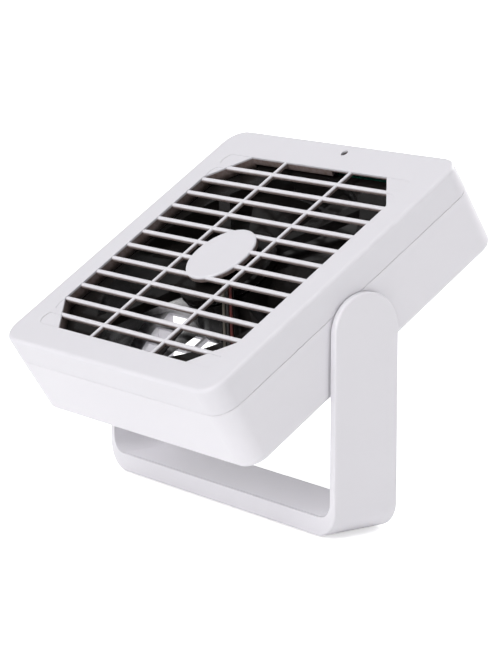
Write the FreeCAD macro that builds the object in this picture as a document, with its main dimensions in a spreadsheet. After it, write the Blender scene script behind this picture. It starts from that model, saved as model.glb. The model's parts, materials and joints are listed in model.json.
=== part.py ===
import FreeCAD, Part
import math
import os

import Sketcher
from FreeCAD import Placement, Rotation, Vector

# Desk fan: a flat square head, tilted back between the arms of a U-shaped stand.
# World frame: +X right, the fan blows towards -Y when upright, +Z up, z = 0 is the desk.
# Head frame: x right, y up along the face, z out of the face; the grille's centre is the origin.

doc = FreeCAD.newDocument("box_fan")
sheet = doc.addObject("Spreadsheet::Sheet", "Sizes")

DIMENSIONS = (
    ("head_half_width", 72.7, "housing, centre to side"),
    ("head_top", 73.2, "grille centre up to the housing's top"),
    ("head_bottom", 69.3, "grille centre down to the housing's bottom"),
    ("head_depth", 38.2, "face to back"),
    ("head_corner", 9.5, "radius of the housing's corners"),
    ("head_draft", 1.1, "draft of the rear shell's sides, degrees"),
    ("wall", 2.4, "thickness of the mouldings"),
    ("parting", 12.0, "face to the line between the two mouldings"),
    ("face_round", 1.6, "rounding round the face"),
    ("back_round", 2.2, "rounding round the back"),
    ("parting_bevel", 0.2, "bevel each side of the parting line"),
    ("grille_half_width", 59.5, "grille opening, centre to side"),
    ("grille_half_height", 57.2, "grille opening, centre to top"),
    ("grille_clip", 101.0, "|x| + |y| along the opening's cut corners"),
    ("slat_pitch", 9.0, "slat to slat"),
    ("slat_half", 1.05, "half a slat's width"),
    ("slat_sink", 0.15, "slat front below the face"),
    ("slat_depth", 1.7, "slat, front to back"),
    ("upright_offset", 21.0, "centre to an upright"),
    ("upright_half", 0.9, "half an upright's width"),
    ("disc_radius", 15.5, "centre disc"),
    ("disc_rise", 0.1, "disc front above the face"),
    ("disc_thickness", 2.4, "centre disc"),
    ("recess_depth", 0.16, "blind slot ends in the grille's corners"),
    ("light_across", 6.9, "power light, right of centre"),
    ("light_up", 67.6, "power light, above centre"),
    ("light_radius", 1.6, "power light's hole"),
    ("tilt_angle", 32.7, "face plane above the horizontal, degrees"),
    ("pivot_height", 78.9, "pivot above the desk"),
    ("pivot_drop", 1.1, "pivot below the grille centre"),
    ("pivot_depth", 25.6, "pivot behind the face"),
    ("arm_depth", 30.8, "stand, front to back"),
    ("arm_inner", 73.0, "centre to an arm's inner face"),
    ("arm_thickness", 2.8, "arm"),
    ("base_underside", 0.6, "base above the desk"),
    ("base_thickness", 7.6, "base"),
    ("stand_corner", 11.0, "outer radius, base to arm"),
    ("stand_inner_corner", 6.5, "inner radius, base to arm"),
    ("stub_radius", 5.0, "pivot stub"),
    ("stub_end", 64.5, "centre to the end of a pivot stub"),
    ("bush_bore", 5.05, "pivot bush, inside radius"),
    ("bush_radius", 6.5, "pivot bush, outside radius"),
    ("fan_half", 60.0, "half of the fan frame's square"),
    ("fan_front", 5.5, "face to the fan frame"),
    ("fan_thickness", 25.0, "fan frame, front to back"),
    ("fan_bolt", 52.5, "fan frame's screw holes, centre to hole"),
    ("duct_radius", 57.6, "bore of the fan frame"),
    ("blade_radius", 56.2, "centre to a blade's tip"),
    ("hub_radius", 21.4, "impeller hub"),
    ("shaft_radius", 1.5, "rotor shaft"),
    ("corner_screw_across", 65.8, "housing screw, centre to side"),
    ("corner_screw_up", 66.0, "upper housing screws above the centre"),
    ("corner_screw_down", 62.1, "lower housing screws below the centre"),
    ("board_level", 61.4, "underside of the main board above the centre"),
    ("board_thickness", 1.6, "main board"),
    ("knob_across", 25.5, "switch knob at rest, right of centre"),
    ("knob_depth", 17.0, "switch knob behind the face"),
    ("knob_travel", 5.0, "switch knob, off to high"),
)


class Size:
    """A number that remembers the sheet expression it comes from."""

    def __init__(self, value, text):
        self.value = float(value)
        self.text = text

    def __add__(self, other):
        return Size(self.value + number(other), f"({self.text} + {words(other)})")

    def __sub__(self, other):
        return Size(self.value - number(other), f"({self.text} - {words(other)})")

    def __rsub__(self, other):
        return Size(number(other) - self.value, f"({words(other)} - {self.text})")

    def __mul__(self, other):
        return Size(self.value * number(other), f"({self.text} * {words(other)})")

    def __truediv__(self, other):
        return Size(self.value / number(other), f"({self.text} / {words(other)})")

    def __neg__(self):
        return Size(-self.value, f"(0 - {self.text})")

    __radd__ = __add__
    __rmul__ = __mul__


def number(size):
    return size.value if isinstance(size, Size) else float(size)


def words(size):
    return size.text if isinstance(size, Size) else f"{float(size):g}"


class Dimensions:
    """The sheet's cells as attributes, such as d.wall."""


d = Dimensions()
for row, (alias, millimetres, meaning) in enumerate(DIMENSIONS, start=1):
    sheet.set(f"A{row}", alias)
    sheet.set(f"B{row}", f"{millimetres:g}")
    sheet.set(f"C{row}", meaning)
    sheet.setAlias(f"B{row}", alias)
    setattr(d, alias, Size(millimetres, f"Sizes.{alias}"))
doc.recompute()

# ---------------------------------------------------------------- helpers


def drive(thing, prop, size):
    """Give a property its size, bound to the sheet where the size comes from there."""
    if isinstance(size, Size):
        thing.setExpression(prop, size.text)
    else:
        setattr(thing, prop, float(size))


def place(thing, position, rotation=Rotation()):
    thing.Placement = Placement(Vector(*map(number, position)), rotation)
    for axis, size in zip("xyz", position):
        if isinstance(size, Size):
            thing.setExpression(f"Placement.Base.{axis}", size.text)
    return thing


def pointing(direction):
    """The turn that takes +Z to a direction."""
    return Rotation(Vector(0, 0, 1), Vector(*direction))


def block(name, corner, lengths):
    box = doc.addObject("Part::Box", name)
    for prop, size in zip(("Length", "Width", "Height"), lengths):
        drive(box, prop, size)
    return place(box, corner)


def rod(name, radius, length, position, direction=(0, 0, 1)):
    cylinder = doc.addObject("Part::Cylinder", name)
    drive(cylinder, "Radius", radius)
    drive(cylinder, "Height", length)
    return place(cylinder, position, pointing(direction))


def joined(name, *shapes):
    fusion = doc.addObject("Part::MultiFuse", name)
    fusion.Shapes = list(shapes)
    return fusion


def group(name, *shapes):
    compound = doc.addObject("Part::Compound", name)
    compound.Links = list(shapes)
    return compound


def cut(name, base, *tools):
    difference = doc.addObject("Part::Cut", name)
    difference.Base = base
    difference.Tool = tools[0] if len(tools) == 1 else joined(name + "_tools", *tools)
    return difference


def pin_point(sketch, geometry, point, position):
    """Hold a sketch point at its distances from the sketch's origin."""
    axes = (("DistanceX", -2), ("DistanceY", -1))
    for size, (kind, axis) in zip(position, axes):
        if number(size) == 0:
            sketch.addConstraint(Sketcher.Constraint("PointOnObject", geometry, point, axis))
            continue
        constraint = Sketcher.Constraint(kind, -1, 1, geometry, point, number(size))
        index = sketch.addConstraint(constraint)
        if isinstance(size, Size):
            sketch.setExpression(f"Constraints[{index}]", size.text)


def draw_polygon(sketch, points):
    corners = [Vector(number(x), number(y), 0) for x, y in points]
    first = sketch.GeometryCount
    for start, end in zip(corners, corners[1:] + corners[:1]):
        sketch.addGeometry(Part.LineSegment(start, end), False)
    count = len(points)
    for index, point in enumerate(points):
        line = first + index
        following = first + (index + 1) % count
        sketch.addConstraint(Sketcher.Constraint("Coincident", line, 2, following, 1))
        pin_point(sketch, line, 1, point)


def draw_circle(sketch, centre, radius):
    middle = Vector(number(centre[0]), number(centre[1]), 0)
    index = sketch.addGeometry(Part.Circle(middle, Vector(0, 0, 1), number(radius)), False)
    pin_point(sketch, index, 3, centre)
    constraint = sketch.addConstraint(Sketcher.Constraint("Radius", index, number(radius)))
    if isinstance(radius, Size):
        sketch.setExpression(f"Constraints[{constraint}]", radius.text)


def draw_rounded(sketch, corners, radius):
    """A rectangle, given as rectangle() gives it, with rounded corners."""
    (left, bottom), (right, top) = corners[0], corners[2]
    ends = (((left, bottom + radius), (left + radius, bottom), bottom + radius),
            ((right - radius, bottom), (right, bottom + radius), bottom + radius),
            ((right, top - radius), (right - radius, top), top - radius),
            ((left + radius, top), (left, top - radius), top - radius))
    centres = ((left + radius, bottom + radius), (right - radius, bottom + radius),
               (right - radius, top - radius), (left + radius, top - radius))
    first = sketch.GeometryCount
    for index, (corner, centre) in enumerate(zip(ends, centres)):
        start, finish = (Vector(number(x), number(y), 0) for x, y in corner[:2])
        middle = Vector(number(centre[0]), number(centre[1]), 0)
        halfway = (start + finish) / 2 - middle
        crown = middle + halfway * (number(radius) / halfway.Length)
        following = ends[(index + 1) % 4][0]
        next_start = Vector(number(following[0]), number(following[1]), 0)
        sketch.addGeometry(Part.Arc(start, crown, finish), False)
        sketch.addGeometry(Part.LineSegment(finish, next_start), False)
    for index, (start, finish, level) in enumerate(ends):
        arc = first + 2 * index
        line = arc + 1
        before = first + (2 * index - 1) % 8
        pin_point(sketch, line, 1, finish)
        pin_point(sketch, before, 2, start)
        sketch.addConstraint(Sketcher.Constraint("Coincident", arc, 1, before, 2))
        sketch.addConstraint(Sketcher.Constraint("Coincident", arc, 2, line, 1))
        hold = Sketcher.Constraint("DistanceY", -1, 1, arc, 3, number(level))
        constraint = sketch.addConstraint(hold)
        sketch.setExpression(f"Constraints[{constraint}]", words(level))


def draw_arch(sketch, across, half_width, foot, crown):
    """A bar's section: a flat foot, straight sides and a half-round crown."""
    side = 1 if number(crown) > number(foot) else -1
    spring = crown - side * half_width
    left, right = across - half_width, across + half_width
    corners = [(left, spring), (left, foot), (right, foot), (right, spring)]
    points = [Vector(number(x), number(y), 0) for x, y in corners]
    first = sketch.GeometryCount
    for start, end in zip(points, points[1:]):
        sketch.addGeometry(Part.LineSegment(start, end), False)
    crown_point = Vector(number(across), number(crown), 0)
    ends = [(points[3], first + 2, 2), (points[0], first, 1)][::side]
    arc_shape = Part.Arc(ends[0][0], crown_point, ends[1][0])
    arc = sketch.addGeometry(arc_shape, False)
    for index in range(3):
        pin_point(sketch, first + index, 1, corners[index])
    pin_point(sketch, first + 2, 2, corners[3])
    for index in range(2):
        joint = Sketcher.Constraint("Coincident", first + index, 2, first + index + 1, 1)
        sketch.addConstraint(joint)
    for end, (_, line, tip) in enumerate(ends, start=1):
        sketch.addConstraint(Sketcher.Constraint("Coincident", arc, end, line, tip))
    centre = Sketcher.Constraint("DistanceY", -1, 1, arc, 3, number(spring))
    index = sketch.addConstraint(centre)
    sketch.setExpression(f"Constraints[{index}]", words(spring))


def sketch_on(body, name, plane, offset=0):
    """A sketch on one of the body's own origin planes, raised along its normal."""
    sketch = body.newObject("Sketcher::SketchObject", name)
    origin_plane = next(f for f in body.Origin.OriginFeatures if f.Role == plane)
    sketch.AttachmentSupport = (origin_plane, [""])
    sketch.MapMode = "FlatFace"
    sketch.AttachmentOffset = Placement(Vector(0, 0, number(offset)), Rotation())
    if isinstance(offset, Size):
        sketch.setExpression("AttachmentOffset.Base.z", offset.text)
    return sketch


def rectangle(left, right, bottom, top):
    return [(left, bottom), (right, bottom), (right, top), (left, top)]


def swept(body, kind, name, sketch, length, reverse=False, both=False, taper=0):
    """A Pad or Pocket of a sketch; the change of volume is checked."""
    before = body.Shape.Volume if body.Tip else 0.0
    feature = body.newObject("PartDesign::" + kind, name)
    feature.Profile = sketch
    drive(feature, "Length", length)
    feature.Reversed = reverse
    if both:
        feature.SideType = "Symmetric"
    if taper:
        drive(feature, "TaperAngle", taper)
    doc.recompute()
    change = body.Shape.Volume - before
    if (change <= 0) == (kind == "Pad"):
        raise RuntimeError(f"{name} changes the volume by {change:.1f}")
    return feature


def repeated(body, name, original, axis, length, count, reverse=False):
    pattern = body.newObject("PartDesign::LinearPattern", name)
    pattern.Originals = [original]
    line = next(f for f in body.Origin.OriginFeatures if f.Role == axis)
    pattern.Direction = (line, [""])
    pattern.Reversed = reverse
    drive(pattern, "Length", length)
    pattern.Occurrences = count
    body.Tip = pattern
    doc.recompute()
    return pattern


def edges_where(shape, test):
    """Names of the edges whose two ends and middle all pass a test."""
    names = []
    for index, edge in enumerate(shape.Edges, start=1):
        middle = edge.valueAt((edge.FirstParameter + edge.LastParameter) / 2)
        points = [vertex.Point for vertex in edge.Vertexes] + [middle]
        if all(test(point) for point in points):
            names.append(f"Edge{index}")
    return names


def upright_edges(shape, test=lambda point: True, axis="z", lean=0.05):
    """Names of the straight edges that run along an axis, or nearly so."""
    names = []
    for index, edge in enumerate(shape.Edges, start=1):
        if len(edge.Vertexes) != 2 or edge.Curve.TypeId != "Part::GeomLine":
            continue
        run = edge.Vertexes[1].Point - edge.Vertexes[0].Point
        along = abs(getattr(run, axis)) / run.Length
        if along > 1 - lean and all(test(vertex.Point) for vertex in edge.Vertexes):
            names.append(f"Edge{index}")
    return names


def softened(body, kind, name, edges, size):
    """A Fillet or Chamfer on the body's last feature."""
    feature = body.newObject("PartDesign::" + kind, name)
    feature.Base = (body.Tip if body.Tip != feature else feature.BaseFeature, edges)
    drive(feature, "Radius" if kind == "Fillet" else "Size", size)
    doc.recompute()
    if "Invalid" in feature.State:
        raise RuntimeError(f"{name} fails on {edges}")
    return feature


def turned(name, outline, position=(0, 0, 0), direction=(0, 0, 1)):
    """A solid of revolution from (radius, height) points, standing along a direction."""
    sketch = doc.addObject("Sketcher::SketchObject", name + "_outline")
    sketch.Placement = Placement(Vector(), Rotation(Vector(1, 0, 0), 90))
    draw_polygon(sketch, outline)
    solid = doc.addObject("Part::Revolution", name)
    solid.Source = sketch
    solid.Axis = Vector(0, 0, 1)
    solid.Angle = 360
    solid.Solid = True
    return place(solid, position, pointing(direction))


def ring(name, inside, outside, low, high, position=(0, 0, 0), direction=(0, 0, 1)):
    outline = rectangle(inside, outside, low, high)
    return turned(name, outline, position, direction)


# ---------------------------------------------------------------- frames of the two halves

tilt = math.radians(number(d.tilt_angle))
face_up = Vector(0, math.cos(tilt), math.sin(tilt))
face_out = Vector(0, -math.sin(tilt), math.cos(tilt))
pivot = Vector(0, 0, number(d.pivot_height))
grille_centre = pivot + face_up * number(d.pivot_drop) + face_out * number(d.pivot_depth)
IN_HEAD = Placement(grille_centre, Rotation(Vector(1, 0, 0), number(d.tilt_angle)))

PIECES = []


def piece(label, thing, frame=None):
    """Name a finished sub-part; those of the head are set in its frame."""
    thing.Label = label
    if frame:
        thing.Placement = frame
    PIECES.append(thing)


# ---------------------------------------------------------------- stand


def stand_bracket():
    """One U-shaped moulding: base, two thin arms with round tops, and the pivot stubs."""
    body = doc.addObject("PartDesign::Body", "stand_bracket_body")
    outer = d.arm_inner + d.arm_thickness
    low = d.base_underside
    base_top = low + d.base_thickness
    top = d.pivot_height + d.arm_depth / 2
    sketch = sketch_on(body, "stand_section", "XZ_Plane")
    draw_polygon(sketch, [(-outer, low), (outer, low), (outer, top), (d.arm_inner, top),
                          (d.arm_inner, base_top), (-d.arm_inner, base_top),
                          (-d.arm_inner, top), (-outer, top)])
    swept(body, "Pad", "stand_strip", sketch, d.arm_depth, both=True)
    bottom = upright_edges(body.Shape, lambda p: p.z < number(low) + 0.1, "y")
    softened(body, "Fillet", "stand_outer_corners", bottom, d.stand_corner)
    inside = upright_edges(body.Shape, lambda p: abs(p.z - number(base_top)) < 0.1, "y")
    softened(body, "Fillet", "stand_inner_corners", inside, d.stand_inner_corner)
    tops = upright_edges(body.Shape, lambda p: p.z > number(top) - 0.1, "x", 0.01)
    softened(body, "Fillet", "arm_tops", tops, d.arm_depth / 2 - 0.05)

    reach = number(outer) - 0.05
    skin = edges_where(body.Shape, lambda p: abs(p.x) > reach and p.z > number(d.stand_corner) + 1)
    softened(body, "Fillet", "arm_edges", skin, 0.9)

    # Shallow channel up the inside of each arm, below the pivot.
    channel = sketch_on(body, "channel_outline", "YZ_Plane")
    half = d.arm_depth / 4
    draw_polygon(channel, rectangle(-half, half, base_top + d.stand_inner_corner,
                                    d.pivot_height - 12))
    swept(body, "Pocket", "arm_channels", channel, (d.arm_inner + 0.4) * 2, both=True)

    # Pivot stubs, bored for their screws.
    for side, name in ((-1, "left"), (1, "right")):
        stub = sketch_on(body, name + "_stub_outline", "YZ_Plane", d.stub_end * side)
        draw_circle(stub, (0, d.pivot_height), d.stub_radius)
        length = d.arm_inner + 0.5 - d.stub_end
        swept(body, "Pad", name + "_stub", stub, length, reverse=side < 0)
    bore = sketch_on(body, "stub_bore_outline", "YZ_Plane")
    draw_circle(bore, (0, d.pivot_height), 1.25)
    swept(body, "Pocket", "stub_bores", bore, (d.arm_inner - 0.6) * 2, both=True)

    # Base: a tray under the cover plate, a ledge that carries the plate, and a seat for the pad.
    ledge = sketch_on(body, "ledge_outline", "XY_Plane", base_top)
    draw_polygon(ledge, rectangle(-66.6, 66.6, -14.7, 14.7))
    swept(body, "Pocket", "cover_ledge", ledge, 1.6)
    tray = sketch_on(body, "tray_outline", "XY_Plane", base_top)
    draw_polygon(tray, rectangle(-64.5, 64.5, -12.6, 12.6))
    swept(body, "Pocket", "weight_tray", tray, d.base_thickness - 1.8)
    pad_seat = sketch_on(body, "pad_seat_outline", "XY_Plane", low)
    draw_polygon(pad_seat, rectangle(-60.1, 60.1, -10.6, 10.6))
    swept(body, "Pocket", "pad_seat", pad_seat, 0.6, reverse=True)
    for name, level, radius, depth in (("head", 1.2, 2.1, 0.7), ("screw", 1.8, 1.35, 1.0)):
        holes = sketch_on(body, f"cover_{name}_outline", "XY_Plane", level)
        for side in (-1, 1):
            draw_circle(holes, (50.0 * side, 0), radius)
        swept(body, "Pocket", f"cover_{name}_holes", holes, depth, reverse=True)
    return body


def base_cover():
    """Plate let into the top of the base, with a boss for each of its two screws."""
    top = d.base_underside + d.base_thickness + 0.25
    plate = block("cover_plate", (-66.5, -14.6, top - 1.85), (133, 29.2, 1.85))
    bosses = [rod(f"cover_boss_{side}", 3.2, 4.6, (50.0 * side, 0, 2.5)) for side in (-1, 1)]
    pilots = [rod(f"cover_pilot_{side}", 1.25, 4.4, (50.0 * side, 0, 2.4)) for side in (-1, 1)]
    return cut("base_cover_cut", joined("base_cover_solid", plate, *bosses), *pilots)


def base_weight():
    """Steel bar that keeps the stand from tipping."""
    bar = block("weight_bar", (-63.5, -11.8, 2.5), (127, 23.6, 3.6))
    holes = [rod(f"weight_hole_{side}", 3.8, 4.0, (50.0 * side, 0, 2.3)) for side in (-1, 1)]
    return cut("base_weight_cut", bar, *holes)


def pan_screw(name, position, direction, shank, head, head_height, length):
    """Pan-headed screw; the underside of its head is at the position."""
    return turned(name, [(0, -head_height), (head * 0.75, -head_height),
                         (head, -head_height * 0.45), (head, 0), (shank, 0),
                         (shank, length), (0, length)], position, direction)


def pivot_hardware(side, name):
    """Friction washer, disc spring, steel washer and screw on one pivot stub."""
    inward = (-side, 0, 0)

    def at(distance):
        return (side * distance, 0, d.pivot_height)

    piece(f"pivot_friction_washer_{name}",
          ring(f"friction_{name}", 5.1, 8.2, 0, 0.9, at(68.7), inward))
    piece(f"pivot_disc_spring_{name}",
          turned(f"spring_{name}", [(5.3, 0), (8.0, 2.4), (8.0, 3.1), (5.3, 0.7)], at(67.7), inward))
    piece(f"pivot_washer_{name}",
          ring(f"washer_{name}", 1.4, 8.2, 0, 1.0, at(d.stub_end), inward))
    piece(f"pivot_screw_{name}",
          pan_screw(f"stub_screw_{name}", at(d.stub_end - 1.0), (side, 0, 0), 1.25, 3.3, 2.0, 8.0))


piece("stand_bracket", stand_bracket())
piece("base_cover", base_cover())
piece("base_weight", base_weight())
piece("nonslip_pad", block("pad_block", (-60, -10.5, 0), (120, 21, 1.2)))
cover_screws = [pan_screw(f"cover_screw_{side}", (50.0 * side, 0, 1.9), (0, 0, 1), 1.25, 2.0, 0.65,
                          4.2) for side in (-1, 1)]
piece("base_cover_screws", group("cover_screw_pair", *cover_screws))
for side, name in ((-1, "left"), (1, "right")):
    pivot_hardware(side, name)

# ---------------------------------------------------------------- housing

CORNERS = [(side * d.corner_screw_across, height)
           for side in (-1, 1) for height in (d.corner_screw_up, -d.corner_screw_down)]


def housing_rectangle(inset=0):
    """The housing's outline, drawn in by an inset; its corners are rounded later."""
    half = d.head_half_width - inset
    return rectangle(-half, half, inset - d.head_bottom, d.head_top - inset)


def grille_octagon():
    """The grille opening: a rectangle with its corners cut at 45 degrees."""
    half_width, half_height = d.grille_half_width, d.grille_half_height
    cut_x, cut_y = d.grille_clip - half_height, d.grille_clip - half_width
    return [(cut_x, half_height), (-cut_x, half_height), (-half_width, cut_y),
            (-half_width, -cut_y), (-cut_x, -half_height), (cut_x, -half_height),
            (half_width, -cut_y), (half_width, cut_y)]


def front_cover():
    """Front moulding: bezel, slats, uprights and disc in one, with bosses for the screws."""
    body = doc.addObject("PartDesign::Body", "front_cover_body")
    outline = sketch_on(body, "cover_outline", "XY_Plane")
    draw_rounded(outline, housing_rectangle(), d.head_corner)
    swept(body, "Pad", "cover_block", outline, d.parting, reverse=True)
    rim = edges_where(body.Shape, lambda p: p.z > -0.01)
    softened(body, "Fillet", "face_edge", rim, d.face_round)
    rim = edges_where(body.Shape, lambda p: p.z < 0.01 - number(d.parting))
    softened(body, "Chamfer", "cover_parting_bevel", rim, d.parting_bevel)
    cavity = sketch_on(body, "cover_cavity_outline", "XY_Plane", -d.parting)
    draw_rounded(cavity, housing_rectangle(d.wall), d.head_corner - d.wall)
    swept(body, "Pocket", "cover_cavity", cavity, d.parting - d.wall, reverse=True)

    opening = sketch_on(body, "grille_opening_outline", "XY_Plane", 1)
    draw_polygon(opening, grille_octagon())
    swept(body, "Pocket", "grille_opening", opening, d.wall + 2)

    # Blind ends of the first two and last two rows of slots.
    ends = sketch_on(body, "blind_ends_outline", "XY_Plane")
    first_row = d.grille_half_height
    row_gap = d.slat_pitch - d.slat_half * 2
    for row in range(2):
        high = first_row - d.slat_pitch * row + (0 if row == 0 else 0.05)
        low = d.slat_pitch * (5.5 - row) + d.slat_half
        start = d.grille_clip - high - 1
        for across in (-1, 1):
            for up in (-1, 1):
                bevel = row_gap * 0.3
                end = d.grille_half_width
                outline = [(start, low), (end - bevel * 0.35, low), (end, low + bevel),
                           (end, high - bevel * 1.3), (end - bevel * 0.5, high - bevel * 0.35),
                           (end - bevel * 1.4, high), (start, high)]
                draw_polygon(ends, [(x * across, y * up) for x, y in outline])
    swept(body, "Pocket", "blind_slot_ends", ends, d.recess_depth)

    slat = sketch_on(body, "slat_section", "YZ_Plane")
    foot = -d.slat_sink - d.slat_depth
    draw_arch(slat, d.slat_pitch * 5.5, d.slat_half, foot, -d.slat_sink)
    first = swept(body, "Pad", "top_slat", slat, d.grille_half_width * 2 + 1, both=True)
    repeated(body, "slats", first, "Y_Axis", d.slat_pitch * 11, 12, reverse=True)
    upright = sketch_on(body, "upright_section", "XZ_Plane")
    draw_arch(upright, d.upright_offset, d.upright_half, foot, -d.slat_sink)
    first = swept(body, "Pad", "right_upright", upright, d.grille_half_height * 2 + 1, both=True)
    repeated(body, "uprights", first, "X_Axis", d.upright_offset * 2, 2, reverse=True)
    radius, front = d.disc_radius, d.disc_rise
    disc = sketch_on(body, "disc_outline", "XZ_Plane")
    draw_polygon(disc, [(0, front - d.disc_thickness), (radius, front - d.disc_thickness),
                        (radius, front - 0.8), (radius - 0.11, front - 0.4),
                        (radius - 0.4, front - 0.11), (radius - 0.8, front), (0, front)])
    rounded_disc = body.newObject("PartDesign::Revolution", "centre_disc")
    rounded_disc.Profile = disc
    rounded_disc.ReferenceAxis = (disc, ["V_Axis"])
    rounded_disc.Angle = 360
    doc.recompute()

    # Skirt behind the opening's edges, open at one corner for the motor's leads.
    skirt = sketch_on(body, "skirt_outline", "XY_Plane", -d.wall)
    half_width, half_height = d.grille_half_width, d.grille_half_height
    cut_x, cut_y = d.grille_clip - half_height, d.grille_clip - half_width
    outer = [(cut_x, -half_height - 1), (-cut_x - 0.41, -half_height - 1),
             (-half_width - 1, -cut_y - 0.41), (-half_width - 1, cut_y + 0.41),
             (-cut_x - 0.7, half_height + 0.7)]
    draw_polygon(skirt, grille_octagon()[1:6] + outer)
    draw_polygon(skirt, rectangle(half_width, half_width + 1, -cut_y, cut_y))
    swept(body, "Pad", "grille_skirt", skirt, 2.8, reverse=True)
    strip = sketch_on(body, "top_skirt_outline", "XY_Plane", -d.wall)
    draw_polygon(strip, rectangle(-cut_x - 0.35, 8.0, half_height, half_height + 1))
    swept(body, "Pad", "top_skirt", strip, 1.4, reverse=True)
    thin = sketch_on(body, "thin_edge_outline", "XY_Plane", -d.wall - 0.1)
    draw_polygon(thin, rectangle(8.5, cut_x, half_height, half_height + 3))
    swept(body, "Pocket", "thin_edge", thin, 1.1, reverse=True)

    light = sketch_on(body, "light_outline", "XY_Plane", 1)
    draw_circle(light, (d.light_across, d.light_up), d.light_radius)
    swept(body, "Pocket", "light_hole", light, d.wall + 2)
    bosses = sketch_on(body, "boss_outline", "XY_Plane", -d.parting - 0.1)
    for across, up in CORNERS:
        draw_circle(bosses, (across, up), 3.2)
    swept(body, "Pad", "screw_bosses", bosses, d.parting + 0.3 - d.wall)
    pilots = sketch_on(body, "pilot_outline", "XY_Plane", -d.parting - 0.1)
    for across, up in CORNERS:
        draw_circle(pilots, (across, up), 1.25)
    swept(body, "Pocket", "screw_pilots", pilots, 8, reverse=True)
    return body


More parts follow.
